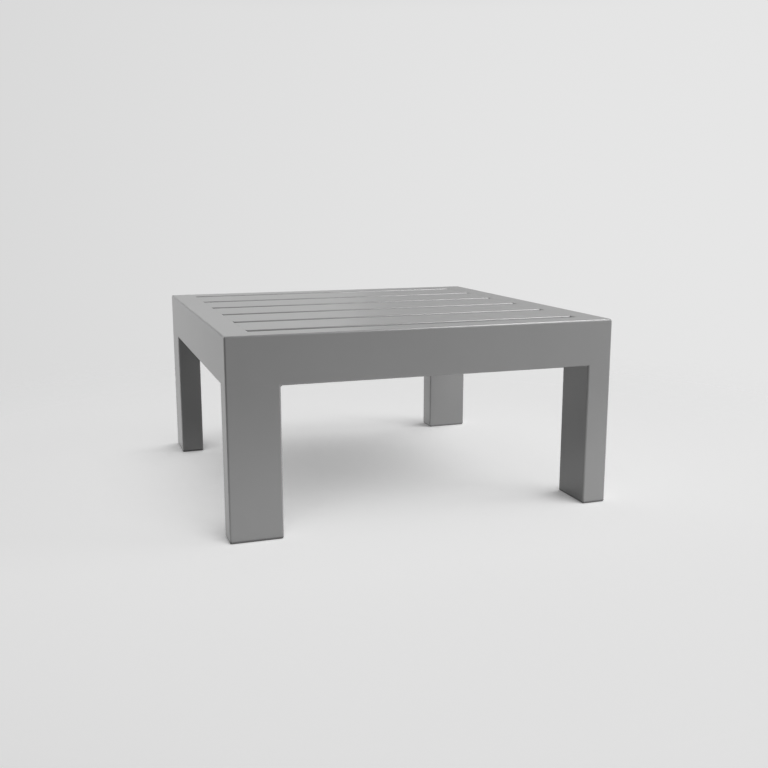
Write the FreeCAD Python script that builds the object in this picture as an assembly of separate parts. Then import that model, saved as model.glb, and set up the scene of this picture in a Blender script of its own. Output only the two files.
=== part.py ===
import FreeCAD, Part
import os
from FreeCAD import Vector

# Low square side table in welded aluminium: a mitred tube frame, a slatted top and four tube legs.
# Millimetres, +Z up, the origin on the floor under the middle of the table, the front towards -Y.

os.makedirs("parts", exist_ok=True)

# Overall sizes
TABLE_WIDTH = 640.0
TABLE_DEPTH = 640.0
TABLE_HEIGHT = 313.0

# Frame tube round the top
APRON_HEIGHT = 76.5
APRON_WALL = 2.0

# Legs, turned a quarter from one corner to the next
LEG_WIDTH = 82.5
LEG_THICKNESS = 42.0
LEG_WALL = 2.0

# Outside rounding of the frame and leg tubes, and the small rounding in a tube's bore
TUBE_ROUND = 3.0
BORE_ROUND = 1.0

# Slats across the top
SLAT_COUNT = 5
SLAT_GAP = 15.0
SLAT_THICKNESS = 20.0
SLAT_WALL = 1.8
SLAT_ROUND = 2.0
SLAT_WEBS = 2

# Rail that runs from front to back under the slats
RAIL_WIDTH = 40.0
RAIL_HEIGHT = 20.0
RAIL_WALL = 2.0
RAIL_ROUND = 2.0

# Foot caps pushed into the legs
CAP_RIM = 4.0
CAP_ROUND = 3.0
CAP_PLUG_HEIGHT = 24.0
CAP_PLUG_WALL = 2.2
CAP_PLUG_STANDOFF = 1.6
CAP_BARB_COUNT = 3
CAP_BARB_HEIGHT = 3.6
CAP_BARB_TIP = 0.3
CAP_WEBS = 2
CAP_WEB_THICKNESS = 2.0
CAP_DRAIN_DIAMETER = 6.0

# Welds: leg length of each bead, and how far its face lies from the root (0.5 is flat, less is hollow)
LEG_BEAD = 3.0
LEG_BEAD_FACE = 0.36
BEAD = 4.0
BEAD_FACE = 0.56
BEAD_END = 3.0
STITCH_LENGTH = 40.0
# Share of the tube rounding that a ground seam weld fills; the feather edges past it are left out
SEAM_FILL = 0.75

# The frame tube is wider than the leg by its own inner rounding, so the leg stands on its flat underside
APRON_WIDTH = LEG_THICKNESS + TUBE_ROUND
APRON_BOTTOM = TABLE_HEIGHT - APRON_HEIGHT
INNER_X = TABLE_WIDTH / 2 - APRON_WIDTH
INNER_Y = TABLE_DEPTH / 2 - APRON_WIDTH
SLAT_BOTTOM = TABLE_HEIGHT - SLAT_THICKNESS
SLAT_WIDTH = (2 * INNER_Y - (SLAT_COUNT + 1) * SLAT_GAP) / SLAT_COUNT
SLAT_PITCH = SLAT_WIDTH + SLAT_GAP
RAIL_BOTTOM = SLAT_BOTTOM - RAIL_HEIGHT
SEAM = SEAM_FILL * TUBE_ROUND

X_AXIS = Vector(1, 0, 0)
Y_AXIS = Vector(0, 1, 0)
Z_AXIS = Vector(0, 0, 1)
ORIGIN = Vector(0, 0, 0)

# Cutting tools run this far past the faces they cut
OVERRUN = 1.0


def box(low, high):
    """A plain block between two opposite corners."""
    size = high - low
    return Part.makeBox(size.x, size.y, size.z, low)


def edges_along(shape, axis):
    """The straight edges of a block that run along one axis."""
    chosen = []
    for edge in shape.Edges:
        run = edge.Vertexes[-1].Point - edge.Vertexes[0].Point
        if run.Length > 1e-6 and abs(abs(run.dot(axis)) - run.Length) < 1e-6:
            chosen.append(edge)
    return chosen


def rounded_bar(low, high, axis, radius):
    """A block whose four edges along the given axis are rounded."""
    bar = box(low, high)
    return bar.makeFillet(radius, edges_along(bar, axis))


def tube(low, high, axis, wall, radius):
    """A rectangular tube, open at both ends, that runs along the given axis."""
    across = Vector(1, 1, 1) - axis
    inset = across * wall - axis * OVERRUN
    bore = rounded_bar(low + inset, high - inset, axis, BORE_ROUND)
    return rounded_bar(low, high, axis, radius).cut(bore)


def outline(low, high, radius):
    """A closed rounded rectangle in a level plane, at the height of its low corner."""
    face = rounded_bar(low, Vector(high.x, high.y, low.z + 1), Z_AXIS, radius)
    level = [item for item in face.Faces if abs(item.BoundBox.ZMax - low.z) < 1e-6]
    return level[0].OuterWire


def mitred_prism(length, near, far, bottom, top):
    """A bar with 45 degree ends: near and far are depths behind the frame's outer face at y = 0."""
    corners = [
        Vector(near - length / 2, near, bottom),
        Vector(length / 2 - near, near, bottom),
        Vector(length / 2 - far, far, bottom),
        Vector(far - length / 2, far, bottom),
    ]
    face = Part.Face(Part.makePolygon(corners + corners[:1]))
    return face.extrude(Vector(0, 0, top - bottom))


def frame_block(low_x, high_x, depth):
    """The outside of the frame behind y = 0, with every edge rounded but those on its back face."""
    block = box(Vector(low_x, 0, APRON_BOTTOM), Vector(high_x, depth, TABLE_HEIGHT))
    outer = [edge for edge in block.Edges if edge.BoundBox.YMin < depth / 2]
    return block.makeFillet(TUBE_ROUND, outer)


def apron(length, distance, angle):
    """One side of the frame: a mitred tube whose outer corners are rounded like a ball."""
    block = frame_block(-length / 2, length / 2, 2 * APRON_WIDTH)
    body = block.common(
        mitred_prism(length, -OVERRUN, APRON_WIDTH, APRON_BOTTOM - OVERRUN, TABLE_HEIGHT + OVERRUN)
    )
    inner = [
        edge
        for edge in edges_along(body, X_AXIS)
        if edge.BoundBox.YMin > APRON_WIDTH - 1e-4
    ]
    body = body.makeFillet(TUBE_ROUND, inner)
    bore = mitred_prism(
        length,
        APRON_WALL,
        APRON_WIDTH - APRON_WALL,
        APRON_BOTTOM + APRON_WALL,
        TABLE_HEIGHT - APRON_WALL,
    )
    body = body.cut(bore.makeFillet(BORE_ROUND, edges_along(bore, X_AXIS)))
    body.translate(Vector(0, -distance, 0))
    body.rotate(ORIGIN, Z_AXIS, angle)
    return body


def slat_middle(index):
    """Where a slat lies from front to back."""
    return -INNER_Y + SLAT_GAP + SLAT_WIDTH / 2 + index * SLAT_PITCH


def slat(index):
    """A flat tube with inner webs, set between the side aprons with its top level with theirs."""
    front = slat_middle(index) - SLAT_WIDTH / 2
    low = Vector(-INNER_X, front, SLAT_BOTTOM)
    high = Vector(INNER_X, front + SLAT_WIDTH, TABLE_HEIGHT)
    body = rounded_bar(low, high, X_AXIS, SLAT_ROUND)
    cell_width = (SLAT_WIDTH - (SLAT_WEBS + 2) * SLAT_WALL) / (SLAT_WEBS + 1)
    cells = []
    for cell in range(SLAT_WEBS + 1):
        start = front + SLAT_WALL + cell * (cell_width + SLAT_WALL)
        cells.append(
            rounded_bar(
                Vector(-INNER_X - OVERRUN, start, SLAT_BOTTOM + SLAT_WALL),
                Vector(INNER_X + OVERRUN, start + cell_width, TABLE_HEIGHT - SLAT_WALL),
                X_AXIS,
                BORE_ROUND,
            )
        )
    return body.cut(cells)


def support_rail():
    """The tube under the slats, from the front apron to the back one."""
    return tube(
        Vector(-RAIL_WIDTH / 2, -INNER_Y, RAIL_BOTTOM),
        Vector(RAIL_WIDTH / 2, INNER_Y, SLAT_BOTTOM),
        Y_AXIS,
        RAIL_WALL,
        RAIL_ROUND,
    )


def leg():
    """A leg tube in its corner's own axes: the corner at the origin, the wide side along X."""
    return tube(
        Vector(0, 0, CAP_RIM),
        Vector(LEG_WIDTH, LEG_THICKNESS, APRON_BOTTOM),
        Z_AXIS,
        LEG_WALL,
        TUBE_ROUND,
    )


def foot_cap():
    """A moulded cap: a rim under the leg and a hollow plug whose barbs grip the bore."""
    rim = box(ORIGIN, Vector(LEG_WIDTH, LEG_THICKNESS, CAP_RIM))
    soft = [edge for edge in rim.Edges if edge.BoundBox.ZMin < CAP_RIM / 2]
    rim = rim.makeFillet(CAP_ROUND, soft)

    plug_inset = Vector(1, 1, 0) * (LEG_WALL + CAP_PLUG_STANDOFF)
    plug_low = Vector(0, 0, CAP_RIM - OVERRUN) + plug_inset
    plug_high = Vector(LEG_WIDTH, LEG_THICKNESS, CAP_RIM + CAP_PLUG_HEIGHT) - plug_inset
    plug = rounded_bar(plug_low, plug_high, Z_AXIS, BORE_ROUND)

    barb_inset = Vector(1, 1, 0) * LEG_WALL
    tip_inset = plug_inset - Vector(1, 1, 0) * CAP_BARB_TIP
    barb_pitch = (CAP_PLUG_HEIGHT - CAP_BARB_HEIGHT) / CAP_BARB_COUNT
    barbs = []
    for number in range(CAP_BARB_COUNT):
        foot = CAP_RIM + (number + 1) * barb_pitch - CAP_BARB_HEIGHT / 2
        lift = Vector(0, 0, foot)
        rise = Vector(0, 0, foot + CAP_BARB_HEIGHT)
        far = Vector(LEG_WIDTH, LEG_THICKNESS, 0)
        wide = outline(barb_inset + lift, far - barb_inset, BORE_ROUND)
        narrow = outline(tip_inset + rise, far - tip_inset, BORE_ROUND)
        barbs.append(Part.makeLoft([wide, narrow], True, True))
    body = rim.fuse([plug] + barbs)

    wall = Vector(1, 1, 0) * CAP_PLUG_WALL
    hollow_low = plug_low + wall + Vector(0, 0, OVERRUN)
    hollow_high = plug_high - wall + Vector(0, 0, OVERRUN)
    cell_length = hollow_high.x - hollow_low.x - CAP_WEBS * CAP_WEB_THICKNESS
    cell_length = cell_length / (CAP_WEBS + 1)
    cells = []
    for cell in range(CAP_WEBS + 1):
        start = hollow_low.x + cell * (cell_length + CAP_WEB_THICKNESS)
        cells.append(
            rounded_bar(
                Vector(start, hollow_low.y, hollow_low.z),
                Vector(start + cell_length, hollow_high.y, hollow_high.z),
                Z_AXIS,
                BORE_ROUND,
            )
        )
    drain = Part.makeCylinder(
        CAP_DRAIN_DIAMETER / 2,
        CAP_RIM + 2 * OVERRUN,
        Vector(LEG_WIDTH / 2, LEG_THICKNESS / 2, -OVERRUN),
    )
    return body.cut(cells + [drain]).removeSplitter()


def bead(root, first, second, run, size, face_share):
    """A fillet weld: root is the corner it fills, first and second point along the two faces."""
    start = root + first * size
    end = root + second * size
    middle = root + (first + second) * (size * face_share)
    wire = Part.Wire(
        [
            Part.LineSegment(root, start).toShape(),
            Part.Arc(start, middle, end).toShape(),
            Part.LineSegment(end, root).toShape(),
        ]
    )
    return Part.Face(wire).extrude(run)


def corner_welds():
    """Beads up the inside of the four mitres, below the slats."""
    bottom = APRON_BOTTOM + TUBE_ROUND
    run = Vector(0, 0, SLAT_BOTTOM - bottom)
    beads = []
    for side_x in (-1, 1):
        for side_y in (-1, 1):
            root = Vector(side_x * INNER_X, side_y * INNER_Y, bottom)
            beads.append(bead(root, X_AXIS * -side_x, Y_AXIS * -side_y, run, BEAD, BEAD_FACE))
    return beads


def leg_seam_weld():
    """Weld ground flush in the groove between the frame's rounded lower edge and the leg's faces."""
    top = APRON_BOTTOM + SEAM
    band = rounded_bar(
        Vector(0, 0, APRON_BOTTOM), Vector(LEG_WIDTH, LEG_THICKNESS, top), Z_AXIS, TUBE_ROUND
    )
    band = band.cut(
        box(
            Vector(SEAM, SEAM, APRON_BOTTOM - OVERRUN),
            Vector(LEG_WIDTH + OVERRUN, LEG_THICKNESS + OVERRUN, top + OVERRUN),
        )
    )
    return band.cut(frame_block(0, 3 * LEG_WIDTH, 3 * LEG_WIDTH))


def leg_fillet_welds():
    """Beads between the leg's two inner faces and the underside of the frame."""
    end_root = Vector(LEG_WIDTH, TUBE_ROUND, APRON_BOTTOM)
    end_run = Y_AXIS * (LEG_THICKNESS - 2 * TUBE_ROUND)
    back_root = Vector(TUBE_ROUND, LEG_THICKNESS, APRON_BOTTOM)
    back_run = X_AXIS * (APRON_WIDTH - 2 * TUBE_ROUND)
    return [
        bead(end_root, X_AXIS, -Z_AXIS, end_run, LEG_BEAD, LEG_BEAD_FACE),
        bead(back_root, Y_AXIS, -Z_AXIS, back_run, LEG_BEAD, LEG_BEAD_FACE),
    ]


def slat_seam_welds():
    """Weld ground flush in the groove between each slat's end and the apron's rounded edge."""
    fills = []
    for index in range(SLAT_COUNT):
        front = slat_middle(index) - SLAT_WIDTH / 2 + SLAT_ROUND
        back = slat_middle(index) + SLAT_WIDTH / 2 - SLAT_ROUND
        for side in (-1, 1):
            face = side * INNER_X
            reach = face + side * SEAM
            fill = box(
                Vector(min(face, reach), front, TABLE_HEIGHT - SEAM),
                Vector(max(face, reach), back, TABLE_HEIGHT),
            )
            rounding = Part.makeCylinder(
                TUBE_ROUND,
                back - front + 2 * OVERRUN,
                Vector(face + side * TUBE_ROUND, front - OVERRUN, TABLE_HEIGHT - TUBE_ROUND),
                Y_AXIS,
            )
            fills.append(fill.cut(rounding))
    return fills


def slat_fillet_welds():
    """Beads under each end of each slat, against the aprons."""
    length = SLAT_WIDTH - 2 * (SLAT_ROUND + BEAD_END)
    beads = []
    for index in range(SLAT_COUNT):
        for side in (-1, 1):
            root = Vector(side * INNER_X, slat_middle(index) - length / 2, SLAT_BOTTOM)
            beads.append(bead(root, X_AXIS * -side, -Z_AXIS, Y_AXIS * length, BEAD, BEAD_FACE))
    return beads


def rail_end_welds():
    """Beads under and beside each end of the rail, against the aprons."""
    under = RAIL_WIDTH - 2 * RAIL_ROUND
    height = RAIL_HEIGHT - 2 * RAIL_ROUND - BEAD
    beads = []
    for end in (-1, 1):
        face = end * INNER_Y
        inward = Y_AXIS * -end
        root = Vector(-under / 2, face, RAIL_BOTTOM)
        beads.append(bead(root, inward, -Z_AXIS, X_AXIS * under, BEAD, BEAD_FACE))
        for side in (-1, 1):
            root = Vector(side * RAIL_WIDTH / 2, face, RAIL_BOTTOM + RAIL_ROUND)
            beads.append(bead(root, inward, X_AXIS * side, Z_AXIS * height, BEAD, BEAD_FACE))
    return beads


def rail_stitch_welds():
    """Short beads along both sides of the rail, one pair under each slat."""
    length = min(STITCH_LENGTH, SLAT_WIDTH - 2 * SLAT_ROUND)
    beads = []
    for index in range(SLAT_COUNT):
        for side in (-1, 1):
            root = Vector(side * RAIL_WIDTH / 2, slat_middle(index) - length / 2, SLAT_BOTTOM)
            beads.append(bead(root, X_AXIS * side, -Z_AXIS, Y_AXIS * length, BEAD, BEAD_FACE))
    return beads


# The four corners in order, each a quarter turn on from the one before
CORNERS = [
    ("front_left", Vector(-TABLE_WIDTH / 2, -TABLE_DEPTH / 2, 0), 0),
    ("front_right", Vector(TABLE_WIDTH / 2, -TABLE_DEPTH / 2, 0), 90),
    ("back_right", Vector(TABLE_WIDTH / 2, TABLE_DEPTH / 2, 0), 180),
    ("back_left", Vector(-TABLE_WIDTH / 2, TABLE_DEPTH / 2, 0), 270),
]


def at_corner(shape, place, angle):
    """A copy of a shape made in corner axes, turned and moved to its corner of the table."""
    moved = shape.copy()
    moved.rotate(ORIGIN, Z_AXIS, angle)
    moved.translate(place)
    return moved


nodes = {
    "front_apron": apron(TABLE_WIDTH, TABLE_DEPTH / 2, 0),
    "right_apron": apron(TABLE_DEPTH, TABLE_WIDTH / 2, 90),
    "back_apron": apron(TABLE_WIDTH, TABLE_DEPTH / 2, 180),
    "left_apron": apron(TABLE_DEPTH, TABLE_WIDTH / 2, 270),
    "support_rail": support_rail(),
}
for index in range(SLAT_COUNT):
    nodes["slat_%d" % (index + 1)] = slat(index)

leg_shape = leg()
cap_shape = foot_cap()
seam_shape = leg_seam_weld()
fillet_shapes = leg_fillet_welds()
leg_seams = []
leg_fillets = []
for name, place, angle in CORNERS:
    nodes[name + "_leg"] = at_corner(leg_shape, place, angle)
    nodes[name + "_foot_cap"] = at_corner(cap_shape, place, angle)
    leg_seams.append(at_corner(seam_shape, place, angle))
    for shape in fillet_shapes:
        leg_fillets.append(at_corner(shape, place, angle))

nodes["corner_welds"] = Part.makeCompound(corner_welds())
nodes["leg_seam_welds"] = Part.makeCompound(leg_seams)
nodes["leg_fillet_welds"] = Part.makeCompound(leg_fillets)
nodes["slat_seam_welds"] = Part.makeCompound(slat_seam_welds())
nodes["slat_fillet_welds"] = Part.makeCompound(slat_fillet_welds())
nodes["rail_end_welds"] = Part.makeCompound(rail_end_welds())
nodes["rail_stitch_welds"] = Part.makeCompound(rail_stitch_welds())

for name, shape in nodes.items():
    shape.exportStep("parts/" + name + ".step")
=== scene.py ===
import math

import bmesh
import bpy
from mathutils import Matrix, Vector


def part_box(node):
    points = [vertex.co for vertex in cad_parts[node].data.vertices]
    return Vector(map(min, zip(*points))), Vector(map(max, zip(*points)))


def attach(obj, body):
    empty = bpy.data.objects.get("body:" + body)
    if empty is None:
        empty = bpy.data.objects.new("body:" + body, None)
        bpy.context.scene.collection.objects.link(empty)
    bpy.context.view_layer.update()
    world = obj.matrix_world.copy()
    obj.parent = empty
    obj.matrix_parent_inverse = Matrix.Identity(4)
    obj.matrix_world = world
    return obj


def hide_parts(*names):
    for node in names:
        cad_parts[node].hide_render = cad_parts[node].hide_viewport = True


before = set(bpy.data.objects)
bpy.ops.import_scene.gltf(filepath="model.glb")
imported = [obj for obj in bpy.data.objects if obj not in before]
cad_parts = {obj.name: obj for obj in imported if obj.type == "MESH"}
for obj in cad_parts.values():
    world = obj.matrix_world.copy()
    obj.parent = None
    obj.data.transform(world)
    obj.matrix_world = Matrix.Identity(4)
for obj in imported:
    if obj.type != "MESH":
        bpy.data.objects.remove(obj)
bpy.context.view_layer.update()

# Low square side table in welded, powder-coated aluminium, on a pale studio floor.
# Metres, +Z up, the table's front towards -Y.

# Coat: colours as they look on a screen, sizes of its patterns in millimetres, bump in metres
COAT_GREY = "#858585"
COAT_PALE = "#898989"
COAT_METALLIC = 0.3
COAT_ROUGHNESS_LOW = 0.30
COAT_ROUGHNESS_HIGH = 0.38
COAT_DRIFT_SIZE = 70
COAT_DRIFT_DETAIL = 2.0
COAT_GRAIN_SIZE = 0.9
COAT_GRAIN_DETAIL = 3.0
COAT_BUMP_STRENGTH = 0.25
COAT_BUMP_DEPTH = 0.00004

# Nylon of the foot caps, in the same units
NYLON_DARK = "#747474"
NYLON_PALE = "#7c7c7c"
NYLON_IOR = 1.53
NYLON_ROUGHNESS = 0.62
NYLON_PIT_SIZE = 0.8
NYLON_PIT_DETAIL = 2.0
NYLON_BUMP_STRENGTH = 0.4
NYLON_BUMP_DEPTH = 0.00006

# Floor: its paint, and the distances from the middle at which it starts to fade and is gone
FLOOR_PAINT = "#ededed"
FLOOR_DROP = 0.0003
FLOOR_RADIUS = 6.0
FLOOR_SEGMENTS = 96
FLOOR_CLEAR_FROM = 0.6
FLOOR_GONE_AT = 1.6

# Floor's glow, with a painted shadow: dark where the table leaves no more than the shaded share of
# the space above free, measured round this heading and as far as this reach, and pale from the
# open share on
FLOOR_PAINTED_SHADOW = "#767676"
FLOOR_OPEN = "#d1d1d1"
OPEN_TOWARDS = (0.406, -0.406, 0.819)
OPEN_REACH = 1.0
SHADED_SHARE = 0.24
OPEN_SHARE = 0.65

# Backdrop: its strength at the middle, and how much it gains to the right, the back and above
BACKDROP_MIDDLE = 0.534
BACKDROP_SLOPE = (0.193, 0.175, 0.0)
# It starts to darken and has become the ceiling at these heights on a ball of radius 1
BACKDROP_TOP = 0.18
CEILING_EDGE = 0.34

# Lamps: name, place, what it faces, width, height and watts
TABLE = (0.0, 0.0, 0.2)
# The coat reflects these
GLOSS_LAMPS = (
    ("front_softbox", (1.52, -1.52, 1.20), TABLE, 2.2, 1.0, 14.0),
    ("back_softbox", (0.20, 2.20, 1.20), TABLE, 1.0, 1.0, 1.7),
    ("overhead_strip", (1.35, -0.20, 2.60), TABLE, 2.4, 0.8, 55.5),
    ("front_card", (0.15, -0.575, 0.001), (0.15, -0.575, 1.0), 1.4, 0.5, 0.92),
)
# The coat doesn't reflect these, which would burn out on the top seen from other sides
FILL_LAMPS = (
    ("front_fill", (1.52, -1.52, 1.20), TABLE, 2.2, 1.0, 29.0),
    ("side_fill", (2.00, -0.80, 1.15), TABLE, 1.4, 1.0, 49.0),
    ("left_fill", (-2.00, 0.90, 1.40), TABLE, 1.0, 1.0, 55.0),
    ("low_left_fill", (-2.20, 0.25, 1.00), TABLE, 1.0, 1.0, 9.5),
)
# These light the floor alone
FLOOR_LAMPS = (
    ("floor_overhead", (0.0, 0.0, 2.50), TABLE, 1.8, 1.8, 4.0),
    ("floor_side", (2.0, -0.7, 1.60), TABLE, 1.2, 1.2, 5.5),
)

# Welds: size of a bead, how hollow its face is, and how it starts and stops
WELD_LEG = 0.004
WELD_HOLLOW = 0.20
WELD_ARC_STEPS = 5
WELD_SHARP_ANGLE = 55
WELD_END_INSET = 0.005
WELD_END_SIZE = 0.55
WELD_END_LENGTH = 0.003
STITCH_LENGTH = 0.040
# The ripples that each drop of filler rod leaves on a bead
RIPPLE_PITCH = 0.0024
RIPPLE_DEPTH = 0.12
RIPPLE_BOW = 0.0012
RIPPLE_STEPS = 4
# The rounded edges of the tubes, where no bead runs
RAIL_ROUND = 0.002
APRON_ROUND = 0.003

# Camera, worked out from the table's corners and edges in the photograph
CAMERA_PLACE = (-0.5355, -1.6550, 0.5043)
CAMERA_YAW = 18.936
CAMERA_PITCH = 11.028
CAMERA_LENS = 44.16
CAMERA_SENSOR = 36.0

SLAT_COUNT = 5
SLATS = ["slat_%d" % number for number in range(1, SLAT_COUNT + 1)]
RIGHT = Vector((1, 0, 0))
BACK = Vector((0, 1, 0))
DOWN = Vector((0, 0, -1))
WHITE = (1.0, 1.0, 1.0, 1.0)

# Where a Mix node keeps its two colours and the colour that it gives
MIX_FIRST = 6
MIX_SECOND = 7
MIX_RESULT = 2


def linear(code):
    """A screen colour such as #808080 as linear red, green, blue and alpha, by the sRGB curve."""
    values = []
    for start in (1, 3, 5):
        part = int(code[start : start + 2], 16) / 255
        values.append(part / 12.92 if part <= 0.04045 else ((part + 0.055) / 1.055) ** 2.4)
    return (*values, 1.0)


def per_metre(millimetres):
    """The texture scale whose features have this size."""
    return 1000.0 / millimetres


def add_node(tree, kind, inputs=None, **settings):
    """Adds a node, sets its options, then sets or links each named input."""
    node = tree.nodes.new(kind)
    for name, value in settings.items():
        setattr(node, name, value)
    for name, value in (inputs or {}).items():
        if isinstance(value, bpy.types.NodeSocket):
            tree.links.new(value, node.inputs[name])
        else:
            node.inputs[name].default_value = value
    return node


def empty_material(name):
    """A material with no nodes yet, and its node tree."""
    material = bpy.data.materials.new(name)
    material.use_nodes = True
    material.node_tree.nodes.clear()
    return material, material.node_tree


def powder_coated_aluminium():
    """Aluminium under a baked satin powder coat: an even grey, a very fine grain, a soft gloss."""
    material, tree = empty_material("powder_coated_aluminium")
    place = add_node(tree, "ShaderNodeTexCoord").outputs["Object"]
    # The coat's thickness drifts a little over a hand's breadth
    drift = add_node(
        tree,
        "ShaderNodeTexNoise",
        {"Vector": place, "Scale": per_metre(COAT_DRIFT_SIZE), "Detail": COAT_DRIFT_DETAIL},
    )
    tint = add_node(
        tree,
        "ShaderNodeMix",
        {
            "Factor": drift.outputs["Fac"],
            MIX_FIRST: linear(COAT_GREY),
            MIX_SECOND: linear(COAT_PALE),
        },
        data_type="RGBA",
    )
    # The real grain is about 0.2 mm; the size drawn is as fine as shows in a close view
    grain = add_node(
        tree,
        "ShaderNodeTexNoise",
        {"Vector": place, "Scale": per_metre(COAT_GRAIN_SIZE), "Detail": COAT_GRAIN_DETAIL},
    )
    gloss = add_node(
        tree,
        "ShaderNodeMapRange",
        {
            "Value": grain.outputs["Fac"],
            "To Min": COAT_ROUGHNESS_LOW,
            "To Max": COAT_ROUGHNESS_HIGH,
        },
    )
    bump = add_node(
        tree,
        "ShaderNodeBump",
        {
            "Height": grain.outputs["Fac"],
            "Strength": COAT_BUMP_STRENGTH,
            "Distance": COAT_BUMP_DEPTH,
        },
    )
    shader = add_node(
        tree,
        "ShaderNodeBsdfPrincipled",
        {
            "Base Color": tint.outputs[MIX_RESULT],
            "Roughness": gloss.outputs["Result"],
            "Normal": bump.outputs["Normal"],
            "Metallic": COAT_METALLIC,
        },
    )
    add_node(tree, "ShaderNodeOutputMaterial", {"Surface": shader.outputs["BSDF"]})
    return material


def moulded_nylon():
    """Grey nylon moulded in a spark-eroded tool: matt, with a fine even pitting."""
    material, tree = empty_material("moulded_nylon")
    place = add_node(tree, "ShaderNodeTexCoord").outputs["Object"]
    pitting = add_node(
        tree,
        "ShaderNodeTexNoise",
        {"Vector": place, "Scale": per_metre(NYLON_PIT_SIZE), "Detail": NYLON_PIT_DETAIL},
    )
    tint = add_node(
        tree,
        "ShaderNodeMix",
        {
            "Factor": pitting.outputs["Fac"],
            MIX_FIRST: linear(NYLON_DARK),
            MIX_SECOND: linear(NYLON_PALE),
        },
        data_type="RGBA",
    )
    bump = add_node(
        tree,
        "ShaderNodeBump",
        {
            "Height": pitting.outputs["Fac"],
            "Strength": NYLON_BUMP_STRENGTH,
            "Distance": NYLON_BUMP_DEPTH,
        },
    )
    shader = add_node(
        tree,
        "ShaderNodeBsdfPrincipled",
        {
            "Base Color": tint.outputs[MIX_RESULT],
            "Roughness": NYLON_ROUGHNESS,
            "Normal": bump.outputs["Normal"],
            "IOR": NYLON_IOR,
        },
    )
    add_node(tree, "ShaderNodeOutputMaterial", {"Surface": shader.outputs["BSDF"]})
    return material


def bead_size(travel, length):
    """The bead's size at one place along it: ripples, and a taper where it starts and stops."""
    ripple = 1 - RIPPLE_DEPTH * (1 - abs(math.sin(math.pi * travel / RIPPLE_PITCH)))
    end = min(travel, length - travel, WELD_END_LENGTH) / WELD_END_LENGTH
    return ripple * (WELD_END_SIZE + (1 - WELD_END_SIZE) * math.sin(math.pi / 2 * end))


def weld_bead(welds, root, first, second, run):
    """Adds a fillet weld: root starts the corner, first and second point along its two faces."""
    bead = bmesh.new()
    forward = run.normalized()
    section = [bead.verts.new(root)]
    for step in range(WELD_ARC_STEPS + 1):
        angle = math.pi / 2 * step / WELD_ARC_STEPS
        bulge = math.sin(2 * angle)
        reach = WELD_LEG * (1 - WELD_HOLLOW * bulge)
        side = first * math.cos(angle) + second * math.sin(angle)
        section.append(bead.verts.new(root + side * reach + forward * RIPPLE_BOW * bulge))
    end_face = bead.faces.new(section)

    # The section is drawn along the corner, and resized about it at each step
    steps = round(run.length / RIPPLE_PITCH) * RIPPLE_STEPS
    size = 1.0
    for step in range(steps + 1):
        place = root + run * step / steps
        if step:
            grown = bmesh.ops.extrude_face_region(bead, geom=[end_face])["geom"]
            end_face = next(item for item in grown if isinstance(item, bmesh.types.BMFace))
            bmesh.ops.translate(bead, vec=run / steps, verts=end_face.verts)
        new_size = bead_size(run.length * step / steps, run.length)
        change = new_size / size
        bmesh.ops.scale(
            bead,
            vec=(change, change, change),
            space=Matrix.Translation(-place),
            verts=end_face.verts,
        )
        size = new_size
    bmesh.ops.recalc_face_normals(bead, faces=bead.faces)
    mesh = bpy.data.meshes.new("bead")
    bead.to_mesh(mesh)
    bead.free()
    welds.from_mesh(mesh)
    bpy.data.meshes.remove(mesh)


def weld_piece(name, welds, node, finish):
    """Makes one piece of a group of beads, in place of the plain beads of a CAD node."""
    mesh = bpy.data.meshes.new(name)
    welds.to_mesh(mesh)
    welds.free()
    mesh.shade_smooth()
    mesh.set_sharp_from_angle(angle=math.radians(WELD_SHARP_ANGLE))
    mesh.materials.append(finish)
    piece = bpy.data.objects.new(name, mesh)
    bpy.context.scene.collection.objects.link(piece)
    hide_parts(node)
    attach(piece, "root")


def slat_weld_beads(finish):
    """A bead under each end of each slat, against the side aprons."""
    welds = bmesh.new()
    for name in SLATS:
        low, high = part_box(name)
        run = Vector((0, high.y - low.y - 2 * WELD_END_INSET, 0))
        for end, inward in ((low.x, RIGHT), (high.x, -RIGHT)):
            root = Vector((end, low.y + WELD_END_INSET, low.z))
            weld_bead(welds, root, inward, DOWN, run)
    weld_piece("slat_weld_beads", welds, "slat_fillet_welds", finish)


def rail_stitch_beads(finish):
    """A short bead on each side of the rail under the middle of each slat."""
    welds = bmesh.new()
    rail_low, rail_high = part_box("support_rail")
    run = BACK * STITCH_LENGTH
    for name in SLATS:
        low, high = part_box(name)
        start = (low.y + high.y - STITCH_LENGTH) / 2
        for side, outward in ((rail_low.x, -RIGHT), (rail_high.x, RIGHT)):
            weld_bead(welds, Vector((side, start, low.z)), outward, DOWN, run)
    weld_piece("rail_stitch_beads", welds, "rail_stitch_welds", finish)


def rail_end_beads(finish):
    """Beads under and beside each end of the rail, against the front and back aprons."""
    welds = bmesh.new()
    low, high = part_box("support_rail")
    under = Vector((high.x - low.x - 2 * RAIL_ROUND, 0, 0))
    beside = Vector((0, 0, high.z - low.z - 2 * RAIL_ROUND - WELD_LEG))
    for end, inward in ((low.y, BACK), (high.y, -BACK)):
        weld_bead(welds, Vector((low.x + RAIL_ROUND, end, low.z)), inward, DOWN, under)
        for side, outward in ((low.x, -RIGHT), (high.x, RIGHT)):
            weld_bead(welds, Vector((side, end, low.z + RAIL_ROUND)), inward, outward, beside)
    weld_piece("rail_end_beads", welds, "rail_end_welds", finish)


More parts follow.
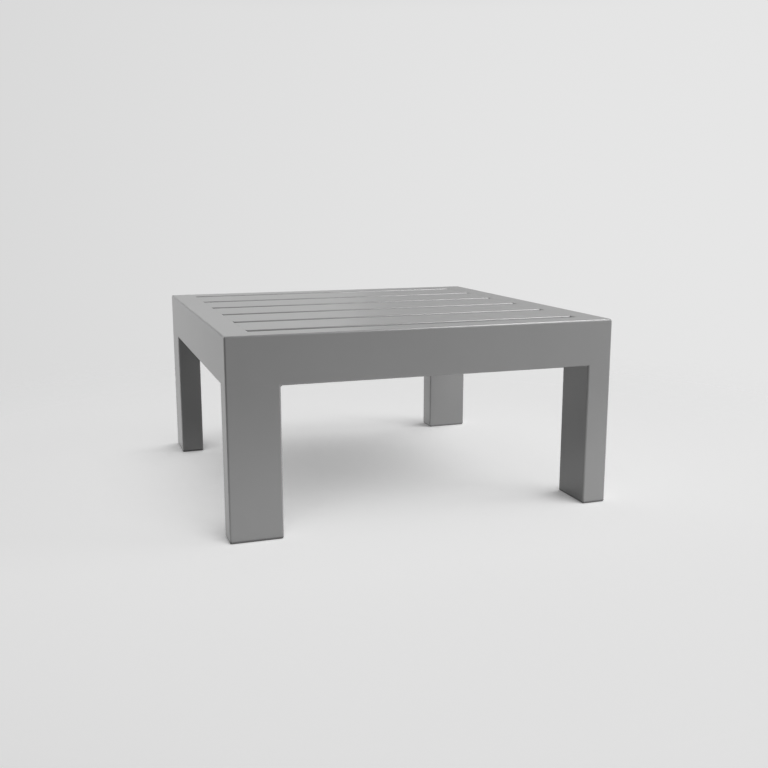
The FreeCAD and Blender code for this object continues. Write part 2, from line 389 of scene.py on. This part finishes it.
def corner_weld_beads(finish):
    """A bead up the inside of each mitre of the frame, below the slats."""
    welds = bmesh.new()
    slat_low, slat_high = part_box(SLATS[0])
    rail_low, rail_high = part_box("support_rail")
    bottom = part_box("front_apron")[0].z + APRON_ROUND
    run = Vector((0, 0, slat_low.z - bottom))
    for x, inward_x in ((slat_low.x, RIGHT), (slat_high.x, -RIGHT)):
        for y, inward_y in ((rail_low.y, BACK), (rail_high.y, -BACK)):
            weld_bead(welds, Vector((x, y, bottom)), inward_x, inward_y, run)
    weld_piece("corner_weld_beads", welds, "corner_welds", finish)


def studio_floor():
    """A pale floor that takes the table's shadow from its own lamps, with a painted shadow added
    in its glow, and fades into the backdrop further off.
    """
    material, tree = empty_material("studio_floor")
    place = add_node(tree, "ShaderNodeTexCoord").outputs["Object"]
    reach = add_node(tree, "ShaderNodeVectorMath", {0: place}, operation="LENGTH")
    fade = add_node(
        tree,
        "ShaderNodeMapRange",
        {
            "Value": reach.outputs["Value"],
            "From Min": FLOOR_CLEAR_FROM,
            "From Max": FLOOR_GONE_AT,
        },
        interpolation_type="SMOOTHSTEP",
    )
    paint = add_node(tree, "ShaderNodeBsdfDiffuse", {"Color": linear(FLOOR_PAINT)})
    # The camera and reflections see a glow on the paint, with a painted shadow that darkens it
    # under the table
    rays = add_node(tree, "ShaderNodeLightPath").outputs
    seen = add_node(
        tree,
        "ShaderNodeMath",
        {0: rays["Is Camera Ray"], 1: rays["Is Glossy Ray"]},
        operation="MAXIMUM",
    )
    seen = add_node(
        tree,
        "ShaderNodeMath",
        {0: seen.outputs["Value"], 1: rays["Is Transmission Ray"]},
        operation="MAXIMUM",
    )
    lean = add_node(tree, "ShaderNodeCombineXYZ", dict(zip("XYZ", OPEN_TOWARDS)))
    cover = add_node(
        tree,
        "ShaderNodeAmbientOcclusion",
        {"Distance": OPEN_REACH, "Normal": lean.outputs["Vector"]},
    )
    openness = add_node(
        tree,
        "ShaderNodeMapRange",
        {"Value": cover.outputs["AO"], "From Min": SHADED_SHARE, "From Max": OPEN_SHARE},
        interpolation_type="SMOOTHSTEP",
    )
    # The glow's colour: painted shadow where the table covers the floor, pale where the floor is
    # open
    painted_shadow_tone = add_node(
        tree,
        "ShaderNodeMix",
        {
            "Factor": openness.outputs["Result"],
            MIX_FIRST: linear(FLOOR_PAINTED_SHADOW),
            MIX_SECOND: linear(FLOOR_OPEN),
        },
        data_type="RGBA",
    )
    glow_with_painted_shadow = add_node(
        tree,
        "ShaderNodeEmission",
        {"Color": painted_shadow_tone.outputs[MIX_RESULT], "Strength": seen.outputs["Value"]},
    )
    lit = add_node(
        tree, "ShaderNodeAddShader", {0: paint.outputs["BSDF"], 1: glow_with_painted_shadow.outputs["Emission"]}
    )
    # Only its upper side shows, so that the table can be looked at from underneath
    below = add_node(tree, "ShaderNodeNewGeometry").outputs["Backfacing"]
    clear = add_node(
        tree, "ShaderNodeMath", {0: fade.outputs["Result"], 1: below}, operation="MAXIMUM"
    )
    gone = add_node(tree, "ShaderNodeBsdfTransparent")
    both = add_node(
        tree,
        "ShaderNodeMixShader",
        {0: clear.outputs["Value"], 1: lit.outputs["Shader"], 2: gone.outputs["BSDF"]},
    )
    add_node(tree, "ShaderNodeOutputMaterial", {"Surface": both.outputs["Shader"]})

    disc = bmesh.new()
    bmesh.ops.create_circle(disc, cap_ends=True, segments=FLOOR_SEGMENTS, radius=FLOOR_RADIUS)
    bmesh.ops.translate(disc, vec=(0, 0, -FLOOR_DROP), verts=disc.verts)
    mesh = bpy.data.meshes.new("studio_floor")
    disc.to_mesh(mesh)
    disc.free()
    mesh.materials.append(material)
    floor = bpy.data.objects.new("studio_floor", mesh)
    bpy.context.scene.collection.objects.link(floor)
    return floor


def studio_world():
    """A pale backdrop, brighter towards the back and the right, under a dark ceiling."""
    world = bpy.data.worlds.new("studio_world")
    bpy.context.scene.world = world
    world.use_nodes = True
    tree = world.node_tree
    tree.nodes.clear()
    heading = add_node(tree, "ShaderNodeTexCoord").outputs["Generated"]
    slope = add_node(
        tree, "ShaderNodeVectorMath", {0: heading, 1: BACKDROP_SLOPE}, operation="DOT_PRODUCT"
    )
    level = add_node(tree, "ShaderNodeMath", {0: slope.outputs["Value"], 1: BACKDROP_MIDDLE})
    rise = add_node(tree, "ShaderNodeSeparateXYZ", {0: heading}).outputs["Z"]
    below_ceiling = add_node(
        tree,
        "ShaderNodeMapRange",
        {
            "Value": rise,
            "From Min": BACKDROP_TOP,
            "From Max": CEILING_EDGE,
            "To Min": 1.0,
            "To Max": 0.0,
        },
        interpolation_type="SMOOTHSTEP",
    )
    strength = add_node(
        tree,
        "ShaderNodeMath",
        {0: level.outputs["Value"], 1: below_ceiling.outputs["Result"]},
        operation="MULTIPLY",
    )
    backdrop = add_node(
        tree,
        "ShaderNodeBackground",
        {"Color": WHITE, "Strength": strength.outputs["Value"]},
    )
    add_node(tree, "ShaderNodeOutputWorld", {"Surface": backdrop.outputs["Background"]})


def softbox(name, place, aim, width, height, power, floor, floor_state):
    """A rectangular studio light that lights the floor alone, or all but the floor."""
    lamp = bpy.data.lights.new(name, "AREA")
    lamp.shape = "RECTANGLE"
    lamp.size = width
    lamp.size_y = height
    lamp.energy = power
    light = bpy.data.objects.new(name, lamp)
    light.location = place
    facing = Vector(aim) - Vector(place)
    light.rotation_euler = facing.to_track_quat("-Z", "Y").to_euler()
    light.visible_camera = False
    bpy.context.scene.collection.objects.link(light)
    lit = bpy.data.collections.new(name + "_lit")
    lit.objects.link(floor)
    light.light_linking.receiver_collection = lit
    lit.collection_objects[0].light_linking.link_state = floor_state
    return light


def studio_lights(floor):
    """All the lamps: those of the table leave the floor out, and those of the floor the table."""
    for lamp in GLOSS_LAMPS:
        softbox(*lamp, floor, "EXCLUDE")
    for lamp in FILL_LAMPS:
        softbox(*lamp, floor, "EXCLUDE").visible_glossy = False
    for lamp in FLOOR_LAMPS:
        softbox(*lamp, floor, "INCLUDE")


def camera():
    """The camera, where the photograph was taken from."""
    lens = bpy.data.cameras.new("camera")
    lens.lens = CAMERA_LENS
    lens.sensor_width = CAMERA_SENSOR
    view = bpy.data.objects.new("camera", lens)
    view.location = CAMERA_PLACE
    view.rotation_euler = (math.radians(90 - CAMERA_PITCH), 0, math.radians(-CAMERA_YAW))
    bpy.context.scene.collection.objects.link(view)
    bpy.context.scene.camera = view


coat = powder_coated_aluminium()
nylon = moulded_nylon()
for name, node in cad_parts.items():
    finish = nylon if name.endswith("foot_cap") else coat
    node.data.materials.clear()
    node.data.materials.append(finish)

slat_weld_beads(coat)
rail_stitch_beads(coat)
rail_end_beads(coat)
corner_weld_beads(coat)

floor = studio_floor()
studio_world()
studio_lights(floor)
camera()
bpy.context.scene.view_settings.view_transform = "Standard"
